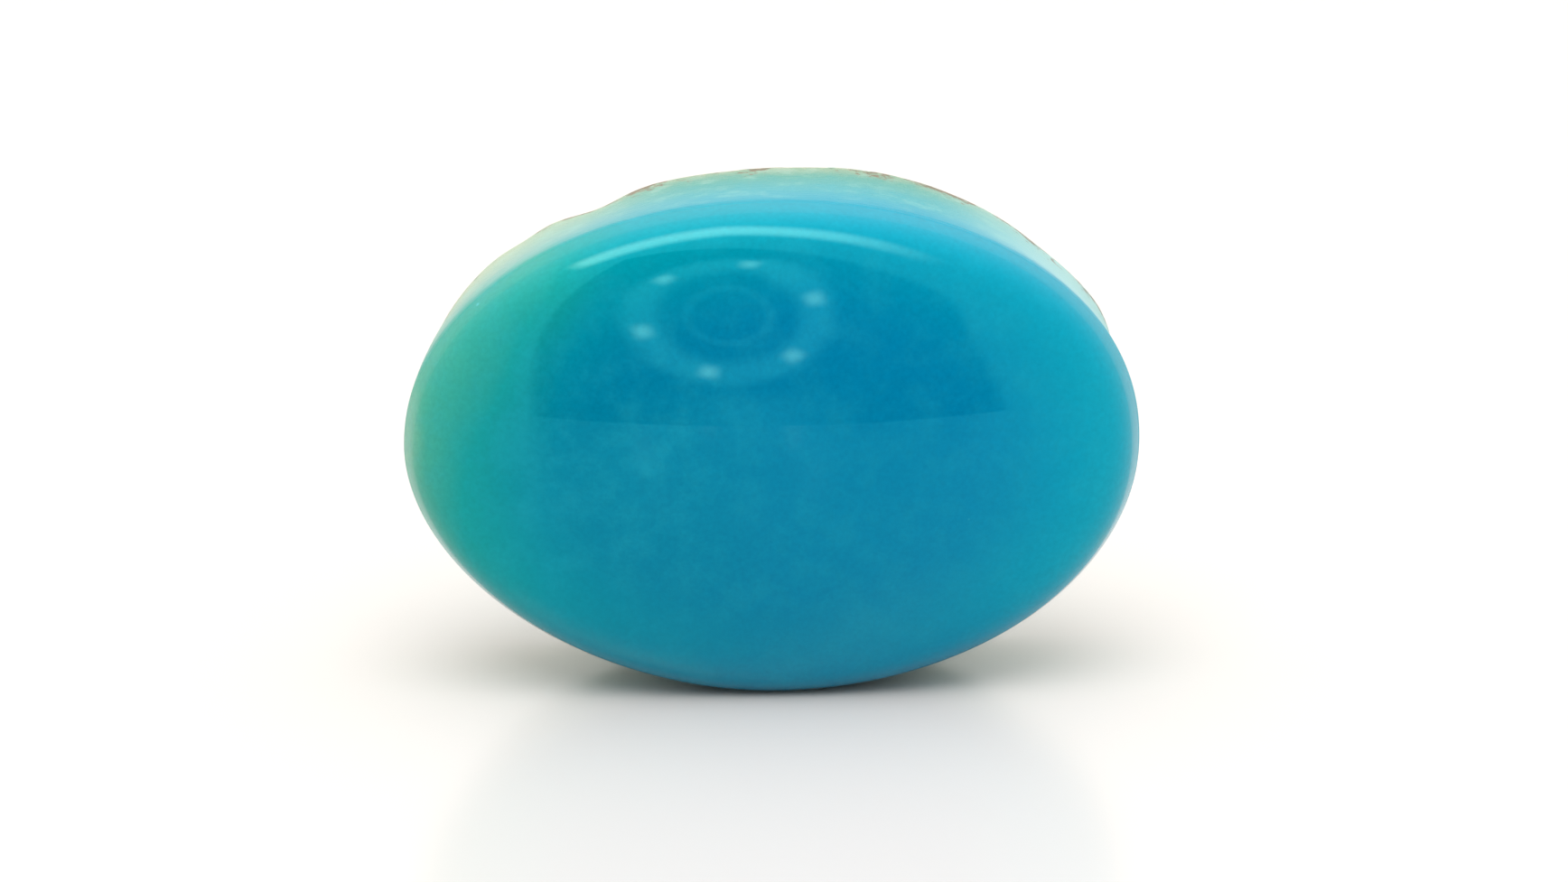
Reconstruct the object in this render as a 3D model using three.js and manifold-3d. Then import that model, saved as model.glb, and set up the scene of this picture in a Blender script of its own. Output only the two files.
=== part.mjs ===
// Polished oval turquoise stone with a rough natural back, standing on its long edge.
// Millimetres. +X runs along the stone's length, +Y from the polished face to the rough back, +Z up.
// The origin is on the surface the stone stands on, below the middle of its box.

import * as THREE from "three";
import { mergeVertices } from "three/addons/utils/BufferGeometryUtils.js";
import Module from "manifold-3d";

// Girdle: the outline where the polished face meets the side wall
const LENGTH = 20.0;
const HEIGHT = 13.75;
// The superellipse power of each quarter: 2 is an ellipse, more is fuller and less is leaner
const FULLNESS = { upperRight: 2.1, upperLeft: 2.04, lowerLeft: 1.87, lowerRight: 2.03 };

// Polished face: a slow dome with a tight shoulder round its edge
const FACE_RADIUS_ALONG = 27.5; // radius of the dome along the length
const FACE_RADIUS_UP = 16.5; // radius of the dome up the height
const SHOULDER_DROP = 0.95; // how far the shoulder falls back to the girdle
const SHOULDER_POWER = 26; // higher is a tighter shoulder
const GIRDLE_ROUND = 0.2; // width of the softened corner between face and wall

// Side wall, from the girdle to the back rim
const WALL_DEPTH = 4.8;
const BACK_LENGTH = 19.55;
const BACK_HEIGHT = 13.45;
const BACK_SHIFT = new THREE.Vector2(0.15, 0.07); // the back rim sits this far right and up
const WALL_CURVE = 1.6; // higher keeps the wall straight for longer before it draws in
const WALL_WAVE = 0.05; // slow unevenness left by grinding
const WAVES = 5; // swells of that unevenness round the stone
const WAVE_TURN = 1.3; // where they start, in radians
const WAVE_SLANT = 2; // how far they run on round the stone from front to back, in radians

// Foot: the flat ground on the lower edge, which the stone stands on
const FOOT_GRIND = 0.13;

// Rough back: the natural skin of the vein, in rounded lumps, broad ledges and pits
const RIM_ROUND = 0.35; // width of the broken corner between wall and back
const BACK_BULGE = 0.35; // the middle of the back stands this far behind its rim
const LUMP_SPAN = 3.1; // spacing of the lumps
const LUMP_HEIGHT = 0.62;
const LUMP_SMALLEST = 0.5; // size of the smallest lump, as a share of the largest
const LEDGES = 3;
const LEDGE_HEIGHT = 0.28;
const LEDGE_SPAN = 6.5; // how far apart the ledges lie
const LEDGE_TREAD = 0.5; // share of each ledge that is flat
const LEDGE_SLANT = 0.4; // slope of the lines they follow
const PITS = 7;
const PIT_RADIUS = 1.25;
const PIT_SMALLEST = 0.65; // size of the smallest pit, as a share of the largest
const PIT_DEPTH = 0.34; // as a share of each pit's radius
const PIT_REACH = 0.84; // how far out the pits lie, as a share of the way to the rim
const PIT_START = 0.6; // how far out the first of them lies, in steps of the spiral
const RIM_FADE = 8; // higher carries the relief closer to the rim

// Each of these picks its own set of repeatable random numbers
const SEED = { lumpAcross: 1, lumpUp: 2, lumpSize: 3, ledge: 4, pitTurn: 5, pitSize: 7 };

// Chips and swells of the back rim, by their angle seen from the face, anticlockwise from +X
const RIM_FORMS = [
  { at: 120, width: 7, swell: -0.036 },
  { at: 134, width: 5, swell: -0.012 },
  { at: 74, width: 17, swell: 0.024 },
  { at: 41, width: 7, swell: -0.008 },
  { at: 22, width: 8, swell: 0.012 },
  { at: 205, width: 9, swell: -0.03 },
  { at: 241, width: 6, swell: 0.012 },
  { at: 318, width: 12, swell: -0.035 },
  { at: 345, width: 6, swell: 0.01 },
];

// How finely the surface is cut into facets
const GRID = 18; // squares from the middle of the face or back to its edge
const FACE_CROWDING = 0.85; // lower packs the face's squares closer at the shoulder
const CORNER_RINGS = 3;
const WALL_RINGS = 5;

const HALF_LENGTH = LENGTH / 2;
const HALF_HEIGHT = HEIGHT / 2;
const SIDE = 2 * GRID + 1; // grid points along a side
const SPOKES = 8 * GRID; // grid points round the edge
const GOLDEN_ANGLE = Math.PI * (3 - Math.sqrt(5));
const NEARBY = [-1, 0, 1].flatMap((u) => [-1, 0, 1].map((v) => [u, v])); // a square and those round it

const { clamp, lerp, smoothstep, radToDeg } = THREE.MathUtils;

// A repeatable number from 0 to 1 for one corner of a grid
function cornerValue(i, j, seed) {
  const s = Math.sin(i * 12.9898 + j * 78.233 + seed * 37.719) * 4375.8545;
  return s - Math.floor(s);
}

// Smooth noise from 0 to 1, with one swell per unit
function noise(u, v, seed) {
  const i = Math.floor(u);
  const j = Math.floor(v);
  const across = smoothstep(u - i, 0, 1);
  const low = lerp(cornerValue(i, j, seed), cornerValue(i + 1, j, seed), across);
  const high = lerp(cornerValue(i, j + 1, seed), cornerValue(i + 1, j + 1, seed), across);
  return lerp(low, high, smoothstep(v - j, 0, 1));
}

// The girdle's point at an angle, on a superellipse with its own power in each quarter
function girdlePoint(angle) {
  const along = Math.cos(angle);
  const up = Math.sin(angle);
  const upper = along >= 0 ? FULLNESS.upperRight : FULLNESS.upperLeft;
  const lower = along >= 0 ? FULLNESS.lowerRight : FULLNESS.lowerLeft;
  const power = 2 / (up >= 0 ? upper : lower);
  return new THREE.Vector2(
    HALF_LENGTH * Math.sign(along) * Math.abs(along) ** power,
    HALF_HEIGHT * Math.sign(up) * Math.abs(up) ** power,
  );
}

// A point of the polished face: share is 0 at its middle and 1 on the girdle
function facePoint(angle, share) {
  const edge = girdlePoint(angle);
  const x = edge.x * share;
  const z = edge.y * share;
  const dome = x ** 2 / (2 * FACE_RADIUS_ALONG) + z ** 2 / (2 * FACE_RADIUS_UP);
  return new THREE.Vector3(x, dome + SHOULDER_DROP * share ** SHOULDER_POWER, z);
}

const GIRDLE_DEPTH = facePoint(Math.PI / 2, 1).y;
const RIM_DEPTH = GIRDLE_DEPTH + WALL_DEPTH;

// How far chips and swells move the back rim in or out at an angle, as a factor
function rimSwell(angle) {
  const degrees = (radToDeg(angle) + 360) % 360;
  return RIM_FORMS.reduce(
    (sum, form) => sum + form.swell * Math.exp(-(((degrees - form.at) / form.width) ** 2)),
    1,
  );
}

// Rounded lumps grown into each other, one in each square of a loose grid
function lumpHeight(x, z) {
  const i = Math.floor(x / LUMP_SPAN);
  const j = Math.floor(z / LUMP_SPAN);
  let highest = 0;
  for (const [u, v] of NEARBY.map(([du, dv]) => [i + du, j + dv])) {
    const dx = x - LUMP_SPAN * (u + lerp(0.1, 0.9, cornerValue(u, v, SEED.lumpAcross)));
    const dz = z - LUMP_SPAN * (v + lerp(0.1, 0.9, cornerValue(u, v, SEED.lumpUp)));
    const size = lerp(LUMP_SMALLEST, 1, cornerValue(u, v, SEED.lumpSize));
    const off = Math.hypot(dx, dz) / (LUMP_SPAN * size);
    highest = Math.max(highest, size * (1 - off ** 2));
  }
  return LUMP_HEIGHT * highest;
}

// Broad ledges, where the skin broke in layers
function ledgeHeight(x, z) {
  const u = (x + LEDGE_SLANT * z) / LEDGE_SPAN;
  const v = (z - LEDGE_SLANT * x) / LEDGE_SPAN;
  const level = LEDGES * noise(u, v, SEED.ledge);
  return LEDGE_HEIGHT * (Math.floor(level) + smoothstep(level % 1, LEDGE_TREAD, 1) - LEDGES / 2);
}

// The pits lie on a sunflower spiral, each with its own size
function pitDepth(x, z) {
  let deepest = 0;
  for (let k = 0; k < PITS; k++) {
    const reach = PIT_REACH * Math.sqrt((k + PIT_START) / PITS);
    const turn = k * GOLDEN_ANGLE + cornerValue(k, 0, SEED.pitTurn);
    const radius = PIT_RADIUS * lerp(PIT_SMALLEST, 1, cornerValue(k, 0, SEED.pitSize));
    const dx = x - (reach * Math.cos(turn) * BACK_LENGTH) / 2;
    const dz = z - (reach * Math.sin(turn) * BACK_HEIGHT) / 2;
    const off = Math.min(1, Math.hypot(dx, dz) / radius);
    deepest = Math.max(deepest, PIT_DEPTH * radius * (1 - off ** 2) ** 1.5);
  }
  return deepest;
}

// How far the rough back stands behind its rim, fading out as it comes to the rim
function backRelief(x, z, share) {
  const rough = lumpHeight(x, z) + ledgeHeight(x, z) - pitDepth(x, z);
  return BACK_BULGE * (1 - share ** 2) + rough * (1 - share ** RIM_FADE);
}

// A point of the rough back: share is 0 in its middle and 1 on its rim
function backPoint(angle, share) {
  const edge = girdlePoint(angle);
  const out = share * rimSwell(angle);
  const x = (edge.x / LENGTH) * BACK_LENGTH * out + BACK_SHIFT.x;
  const z = (edge.y / HEIGHT) * BACK_HEIGHT * out + BACK_SHIFT.y;
  return new THREE.Vector3(x, RIM_DEPTH + backRelief(x, z, share), z);
}

// A point of the side wall: share is 0 on the girdle and 1 on the back rim
function wallPoint(angle, share) {
  const front = facePoint(angle, 1);
  const back = backPoint(angle, 1);
  const drawn = share ** WALL_CURVE;
  const swell = Math.sin(Math.PI * share) * Math.sin(WAVES * angle + WAVE_TURN + WAVE_SLANT * share);
  const out = 1 + (WALL_WAVE * swell) / HALF_HEIGHT;
  return new THREE.Vector3(
    lerp(front.x, back.x, drawn) * out,
    lerp(front.y, back.y, share),
    lerp(front.z, back.z, drawn) * out,
  );
}

const FACE_SHARE = 1 - GIRDLE_ROUND / HALF_HEIGHT;
const BACK_SHARE = 1 - RIM_ROUND / HALF_HEIGHT;
const WALL_START = GIRDLE_ROUND / WALL_DEPTH;
const WALL_END = 1 - RIM_ROUND / WALL_DEPTH;

// The softened corner between face and wall, from 0 on the face to 1 on the wall
function girdleCorner(angle, share) {
  const corner = new THREE.QuadraticBezierCurve3(
    facePoint(angle, FACE_SHARE),
    facePoint(angle, 1),
    wallPoint(angle, WALL_START),
  );
  return corner.getPoint(share);
}

// The broken corner between wall and back, from 0 on the wall to 1 on the back
function rimCorner(angle, share) {
  const corner = new THREE.QuadraticBezierCurve3(
    wallPoint(angle, WALL_END),
    backPoint(angle, 1),
    backPoint(angle, BACK_SHARE),
  );
  return corner.getPoint(share);
}

// The face and the back are square grids drawn into ovals: a grid point's angle round the middle
function gridAngle(i, j) {
  if (Math.abs(i) >= Math.abs(j)) {
    return (i < 0 ? Math.PI : 0) + (i === 0 ? 0 : (Math.PI / 4) * (j / i));
  }
  return (j < 0 ? 1.5 : 0.5) * Math.PI - (Math.PI / 4) * (i / j);
}

// Where a spoke meets the edge of the grid, along one of its two directions
function edgeStep(spoke) {
  const eighth = ((spoke / GRID + 12) % 8) - 4;
  return Math.round(GRID * clamp(2 - Math.abs(eighth), -1, 1));
}

// The grid's edge point at a spoke, as steps across and up
function edgeAt(spoke) {
  return [edgeStep(spoke), edgeStep(spoke - 2 * GRID)];
}

// The points of one oval grid, row by row
function ovalPoints(pointAt) {
  const points = [];
  for (let j = -GRID; j <= GRID; j++) {
    for (let i = -GRID; i <= GRID; i++) {
      points.push(pointAt(gridAngle(i, j), Math.max(Math.abs(i), Math.abs(j)) / GRID));
    }
  }
  return points;
}

// The corners of every square of an oval grid, anticlockwise seen from -Y
function ovalSquares() {
  const squares = [];
  for (let j = 0; j < 2 * GRID; j++) {
    for (let i = 0; i < 2 * GRID; i++) {
      const corner = j * SIDE + i;
      squares.push([corner, corner + 1, corner + 1 + SIDE, corner + SIDE]);
    }
  }
  return squares;
}

// The two triangles of a square, which is split along its shorter diagonal
function splitSquare(points, [a, b, c, d]) {
  const shorter = points[a].distanceTo(points[c]) < points[b].distanceTo(points[d]);
  return shorter ? [a, b, c, a, c, d] : [a, b, d, b, c, d];
}

// Shares of the way along a stretch at which its rings lie, the last at its end
function ringShares(count) {
  return Array.from({ length: count }, (_, k) => (k + 1) / count);
}

// One closed skin: the face, the rings of the wall and its corners, then the back
function skinGeometry() {
  const rings = [
    ...ringShares(CORNER_RINGS).map((share) => [girdleCorner, share]),
    ...ringShares(WALL_RINGS).map((share) => [wallPoint, lerp(WALL_START, WALL_END, share)]),
    ...ringShares(CORNER_RINGS).slice(0, -1).map((share) => [rimCorner, share]),
  ];
  const points = ovalPoints((angle, share) => {
    return facePoint(angle, FACE_SHARE * Math.sin((Math.PI / 2) * share) ** FACE_CROWDING);
  });
  const wallStart = points.length;
  for (const [pointAt, share] of rings) {
    for (let spoke = 0; spoke < SPOKES; spoke++) {
      points.push(pointAt(gridAngle(...edgeAt(spoke)), share));
    }
  }
  const backStart = points.length;
  points.push(...ovalPoints((angle, share) => backPoint(angle, BACK_SHARE * share)));

  // Ring 0 is the face's edge and the last ring is the back's
  const indexAt = (ring, spoke) => {
    const [i, j] = edgeAt(spoke);
    const onGrid = (j + GRID) * SIDE + i + GRID;
    if (ring === 0) {
      return onGrid;
    }
    return ring > rings.length ? backStart + onGrid : wallStart + (ring - 1) * SPOKES + spoke;
  };
  const squares = ovalSquares();
  for (let ring = 0; ring <= rings.length; ring++) {
    for (let spoke = 0; spoke < SPOKES; spoke++) {
      const next = (spoke + 1) % SPOKES;
      const far = [indexAt(ring + 1, spoke), indexAt(ring + 1, next)];
      squares.push([indexAt(ring, spoke), far[0], far[1], indexAt(ring, next)]);
    }
  }
  squares.push(...ovalSquares().map((corners) => corners.map((k) => k + backStart).reverse()));
  const geometry = new THREE.BufferGeometry().setFromPoints(points);
  geometry.setIndex(squares.flatMap((corners) => splitSquare(points, corners)));
  return geometry;
}

const wasm = await Module();
wasm.setup();

function solidOf(geometry) {
  const bare = geometry.clone();
  bare.deleteAttribute("normal");
  bare.deleteAttribute("uv");
  const merged = mergeVertices(bare);
  return new wasm.Manifold(
    new wasm.Mesh({
      numProp: 3,
      vertProperties: merged.attributes.position.array,
      triVerts: new Uint32Array(merged.index.array),
    }),
  );
}

function geometryOf(solid) {
  const mesh = solid.getMesh();
  const geometry = new THREE.BufferGeometry();
  geometry.setAttribute("position", new THREE.BufferAttribute(mesh.vertProperties, 3));
  geometry.setIndex(new THREE.BufferAttribute(mesh.triVerts, 1));
  geometry.computeVertexNormals();
  return geometry;
}

// The stone with its foot ground flat, set down on Z = 0 with its box centred on the origin
function stoneGeometry() {
  const footHeight = FOOT_GRIND - HALF_HEIGHT;
  const lap = new THREE.BoxGeometry(2 * LENGTH, 2 * LENGTH, HEIGHT);
  lap.translate(0, 0, footHeight - HEIGHT / 2);
  const geometry = geometryOf(solidOf(skinGeometry()).subtract(solidOf(lap)));
  geometry.computeBoundingBox();
  const middle = geometry.boundingBox.getCenter(new THREE.Vector3());
  return geometry.translate(-middle.x, -middle.y, -footHeight);
}

function turquoise() {
  return new THREE.MeshStandardMaterial({ color: 0x0b86a6, roughness: 0.18, metalness: 0 });
}

const stone = new THREE.Mesh(stoneGeometry(), turquoise());
stone.name = "stone";

const part = new THREE.Group();
part.add(stone);

export default part;
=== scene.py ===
"""A polished oval turquoise stone with a rough natural back, standing on its long edge.

Blender works in metres, and the stone's shape is worked out in millimetres. +X runs along the stone,
+Y from its polished face to its rough back, and +Z up. The origin is on the floor, under the middle of
the stone's box. While the shape is worked out, it is measured from the top of the polished dome and
from the middle of the outline.
"""

import logging
import math
from collections.abc import Callable
from dataclasses import dataclass
from enum import Enum
from functools import partial

import bpy
import numpy as np
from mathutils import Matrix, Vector


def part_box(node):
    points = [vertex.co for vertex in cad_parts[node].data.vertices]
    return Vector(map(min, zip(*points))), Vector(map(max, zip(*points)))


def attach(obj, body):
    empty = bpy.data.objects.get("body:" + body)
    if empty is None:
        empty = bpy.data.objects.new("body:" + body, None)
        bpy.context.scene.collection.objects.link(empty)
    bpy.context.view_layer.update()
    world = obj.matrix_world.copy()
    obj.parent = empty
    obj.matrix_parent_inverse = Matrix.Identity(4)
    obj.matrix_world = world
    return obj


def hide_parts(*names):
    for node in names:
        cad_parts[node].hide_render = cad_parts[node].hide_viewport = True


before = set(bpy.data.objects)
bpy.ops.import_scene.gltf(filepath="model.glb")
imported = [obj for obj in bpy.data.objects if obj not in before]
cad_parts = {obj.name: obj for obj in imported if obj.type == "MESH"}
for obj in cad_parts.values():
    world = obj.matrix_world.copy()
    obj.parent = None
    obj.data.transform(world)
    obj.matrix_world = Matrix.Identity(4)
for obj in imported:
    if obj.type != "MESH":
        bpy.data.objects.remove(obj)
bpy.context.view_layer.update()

log = logging.getLogger("turquoise")

MM = 0.001
GOLDEN_ANGLE = math.pi * (3 - math.sqrt(5))

Numbers = np.ndarray
Body = bpy.types.Object
Node = bpy.types.Node
Socket = bpy.types.NodeSocket
Tree = bpy.types.NodeTree
Adder = Callable[..., Node]
Stops = tuple[tuple[float, str], ...]

# A Map Range node takes a value, where it starts and ends, and what it gives at either. This makes
# its step start and end softly.
SMOOTH = {"interpolation_type": "SMOOTHSTEP"}


class Border(float, Enum):
    """Where one state of the surface gives way to the next, on the region attribute."""

    CREASE = 1.0
    RIM = 2.0


def linear(code: str) -> tuple[float, float, float, float]:
    """Turns an sRGB colour code to the linear colour that Blender's shaders take.

    Args:
        code: The colour as #RRGGBB.

    Returns:
        Linear red, green, blue and an alpha of 1.
    """
    parts = [int(code[k : k + 2], 16) / 255 for k in (1, 3, 5)]
    curved = [p / 12.92 if p <= 0.04045 else ((p + 0.055) / 1.055) ** 2.4 for p in parts]
    return (*curved, 1.0)


def metres(sizes: tuple[float, ...]) -> tuple[float, ...]:
    """Turns sizes in mm to metres."""
    return tuple(size * MM for size in sizes)


def per_metre(size: float) -> float:
    """Gives a pattern's scale on Object coordinates from the size of its features in mm."""
    return 1 / (size * MM)


def add_node(tree: Tree, kind: str, *inputs: object, **options: object) -> Node:
    """Adds one node, with its settings and links.

    Args:
        tree: The node tree it goes into.
        kind: Blender's name for the node, without ShaderNode before it.
        inputs: For the first inputs in their order, a value, or the output or node that feeds it.
        options: Settings, whose names are in small letters, and further inputs by identifier or
            name with _ for a space.

    Returns:
        The new node.
    """
    node = tree.nodes.new(f"ShaderNode{kind}")
    fed = list(zip(node.inputs, inputs))
    for name, value in options.items():
        if name.islower():
            setattr(node, name, value)
    for name in [name for name in options if not name.islower()]:
        names = (name, name.replace("_", " "))
        found = [s for s in node.inputs if s.identifier in names or s.name in names]
        fed.append((next((s for s in found if s.enabled), found[0]), options[name]))
    for socket, value in fed:
        if isinstance(value, Node):
            value = next(out for out in value.outputs if out.enabled)
        if isinstance(value, Socket):
            tree.links.new(value, socket)
        else:
            socket.default_value = value
    return node


def node_adder(owner: bpy.types.Material | bpy.types.World) -> Adder:
    """Empties a node tree and gives the function that adds nodes to it.

    Args:
        owner: The material or world that has the tree.

    Returns:
        The function add_node, for this tree.
    """
    owner.use_nodes = True
    owner.node_tree.nodes.clear()
    return partial(add_node, owner.node_tree)


def direction(elevation: float, azimuth: float) -> Vector:
    """Gives the direction that lies so high and so far right of the front, in degrees."""
    rise, turn = math.radians(elevation), math.radians(azimuth)
    return Vector((math.sin(turn) * math.cos(rise), -math.cos(turn) * math.cos(rise), math.sin(rise)))


def smoothstep(value: Numbers, low: float, high: float) -> Numbers:
    """Rises smoothly from 0 at low to 1 at high."""
    share = np.clip((value - low) / (high - low), 0, 1)
    return share * share * (3 - 2 * share)


def corner_value(i: Numbers, j: Numbers, seed: int) -> Numbers:
    """Gives a repeatable number from 0 to 1 for one corner of a grid."""
    s = np.sin(i * 12.9898 + j * 78.233 + seed * 37.719) * 4375.8545
    return s - np.floor(s)


def noise(u: Numbers, v: Numbers, seed: int) -> Numbers:
    """Gives smooth noise from 0 to 1, with one swell per unit.

    Args:
        u: Places along one direction.
        v: Places along the other.
        seed: Picks the set of random numbers.

    Returns:
        The noise at each place.
    """
    i, j = np.floor(u), np.floor(v)
    across = smoothstep(u - i, 0, 1)
    low = corner_value(i, j, seed) * (1 - across) + corner_value(i + 1, j, seed) * across
    high = corner_value(i, j + 1, seed) * (1 - across) + corner_value(i + 1, j + 1, seed) * across
    up = smoothstep(v - j, 0, 1)
    return low * (1 - up) + high * up


@dataclass(frozen=True)
class Outline:
    """The girdle, where the polished face meets the side wall. Sizes in mm."""

    length: float = 20.0
    height: float = 13.75
    upper_right: float = 2.1
    upper_left: float = 2.04
    lower_left: float = 1.87
    lower_right: float = 2.03

    def point(self, angle: Numbers) -> tuple[Numbers, Numbers]:
        """Gives the girdle's points, on a superellipse with its own power in each quarter.

        Args:
            angle: Angles round the middle, anticlockwise from +X seen from the face.

        Returns:
            How far along and how far up each point lies.
        """
        along, up = np.cos(angle), np.sin(angle)
        upper = np.where(along >= 0, self.upper_right, self.upper_left)
        lower = np.where(along >= 0, self.lower_right, self.lower_left)
        power = 2 / np.where(up >= 0, upper, lower)
        x = self.length / 2 * np.sign(along) * np.abs(along) ** power
        z = self.height / 2 * np.sign(up) * np.abs(up) ** power
        return x, z


@dataclass(frozen=True)
class PolishedFace:
    """The dome: slow in its middle, with a tight shoulder round its edge. Sizes in mm."""

    radius_along: float = 27.5
    radius_up: float = 16.5
    shoulder_drop: float = 0.95
    shoulder_power: int = 26
    girdle_round: float = 0.2
    crowding: float = 0.85

    def depth(self, x: Numbers, z: Numbers, share: Numbers) -> Numbers:
        """Gives how far the face lies behind the top of its dome.

        Args:
            x: Places along the stone.
            z: Places up the stone.
            share: How far out each lies, 0 in the middle and 1 on the girdle.

        Returns:
            The depth at each place.
        """
        dome = x**2 / (2 * self.radius_along) + z**2 / (2 * self.radius_up)
        return dome + self.shoulder_drop * share**self.shoulder_power


@dataclass(frozen=True)
class LumpLayer:
    """Rounded lumps grown into each other, one in each square of a loose grid. Sizes in mm."""

    span: float
    height: float
    smallest: float
    seed: int
    furrow: float = 0.0

    def rise(self, x: Numbers, z: Numbers) -> Numbers:
        """Gives how far the lumps stand up, from 0 to their full height, and below 0 in their furrows.

        Args:
            x: Places along the stone.
            z: Places up the stone.

        Returns:
            The height at each place.
        """
        i, j = np.floor(x / self.span), np.floor(z / self.span)
        highest = np.full_like(x, -self.furrow / self.height)
        for du in (-1, 0, 1):
            for dv in (-1, 0, 1):
                u, v = i + du, j + dv
                dx = x - self.span * (u + 0.1 + 0.8 * corner_value(u, v, self.seed))
                dz = z - self.span * (v + 0.1 + 0.8 * corner_value(u, v, self.seed + 1))
                size = self.smallest + (1 - self.smallest) * corner_value(u, v, self.seed + 2)
                off = np.hypot(dx, dz) / (self.span * size)
                highest = np.maximum(highest, size * (1 - off**2))
        return self.height * highest


@dataclass(frozen=True)
class RoughBack:
    """The natural skin of the vein, in rounded lumps, broad ledges and pits. Sizes in mm."""

    length: float = 19.55
    height: float = 13.45
    right: float = 0.15
    up: float = 0.07
    rim_round: float = 0.35
    bulge: float = 0.35
    lumps: LumpLayer = LumpLayer(span=3.1, height=0.62, smallest=0.5, seed=1)
    nodules: LumpLayer = LumpLayer(span=1.25, height=0.42, smallest=0.45, seed=11, furrow=0.22)
    grains: LumpLayer = LumpLayer(span=0.42, height=0.13, smallest=0.45, seed=21, furrow=0.05)
    warp: float = 0.35
    warp_span: float = 1.7
    ledges: int = 3
    ledge_height: float = 0.28
    ledge_span: float = 6.5
    ledge_tread: float = 0.5
    ledge_slant: float = 0.4
    pits: int = 7
    pit_radius: float = 1.25
    pit_smallest: float = 0.65
    pit_depth: float = 0.34
    pit_reach: float = 0.84
    pit_start: float = 0.6
    rim_fade: int = 8
    # Chips and swells of the rim: the angle seen from the face, the width in degrees, the swell
    rim_forms: tuple[tuple[float, float, float], ...] = (
        (120, 7, -0.036), (134, 5, -0.012), (74, 17, 0.024), (41, 7, -0.008), (22, 8, 0.012),
        (205, 9, -0.03), (241, 6, 0.012), (318, 12, -0.035), (345, 6, 0.01),
    )

    def rim_swell(self, angle: Numbers) -> Numbers:
        """Gives how far chips and swells move the rim in or out at an angle, as a factor."""
        degrees = np.degrees(angle) % 360
        swells = [swell * np.exp(-(((degrees - at) / width) ** 2)) for at, width, swell in self.rim_forms]
        return 1 + sum(swells)

    def ledge_rise(self, x: Numbers, z: Numbers) -> Numbers:
        """Gives the height of the broad ledges, where the skin broke in layers."""
        u = (x + self.ledge_slant * z) / self.ledge_span
        v = (z - self.ledge_slant * x) / self.ledge_span
        level = self.ledges * noise(u, v, 4)
        step = np.floor(level) + smoothstep(level % 1, self.ledge_tread, 1)
        return self.ledge_height * (step - self.ledges / 2)

    def pit_fall(self, x: Numbers, z: Numbers) -> Numbers:
        """Gives the depth of the pits, which lie on a sunflower spiral, each with its own size."""
        deepest = np.zeros_like(x)
        for k in range(self.pits):
            reach = self.pit_reach * math.sqrt((k + self.pit_start) / self.pits)
            turn = k * GOLDEN_ANGLE + corner_value(k, 0, 5)
            radius = self.pit_radius * (self.pit_smallest + (1 - self.pit_smallest) * corner_value(k, 0, 7))
            dx = x - reach * math.cos(turn) * self.length / 2
            dz = z - reach * math.sin(turn) * self.height / 2
            off = np.minimum(1, np.hypot(dx, dz) / radius)
            deepest = np.maximum(deepest, self.pit_depth * radius * (1 - off**2) ** 1.5)
        return deepest

    def grooves(self, x: Numbers, z: Numbers) -> Numbers:
        """Gives how deep the furrows between the small nodules and grains lie."""
        x = x + self.warp * (2 * noise(x / self.warp_span, z / self.warp_span, 43) - 1)
        z = z + self.warp * (2 * noise(x / self.warp_span, z / self.warp_span, 47) - 1)
        between_nodules = self.nodules.height - self.nodules.rise(x, z)
        between_grains = self.grains.height - self.grains.rise(x, z)
        return between_nodules + between_grains

    def relief(self, x: Numbers, z: Numbers, share: Numbers) -> Numbers:
        """Gives how far the back stands behind its rim, the relief fading as it comes to the rim.

        Args:
            x: Places along the stone.
            z: Places up the stone.
            share: How far out each lies, 0 in the middle and 1 on the rim.

        Returns:
            The height of the back at each place.
        """
        rough = self.lumps.rise(x, z) + self.ledge_rise(x, z) - self.pit_fall(x, z)
        fade = 1 - share**self.rim_fade
        return self.bulge * (1 - share**2) + (rough - self.grooves(x, z)) * fade


@dataclass(frozen=True)
class SideWall:
    """The ground band between the girdle and the back rim. Sizes in mm."""

    depth: float = 4.8
    curve: float = 1.6
    wave: float = 0.05
    waves: int = 5
    wave_turn: float = 1.3
    wave_slant: float = 2.0
    chip_depth: float = 0.17
    chip_span: float = 0.6
    chip_width: float = 0.3


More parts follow.
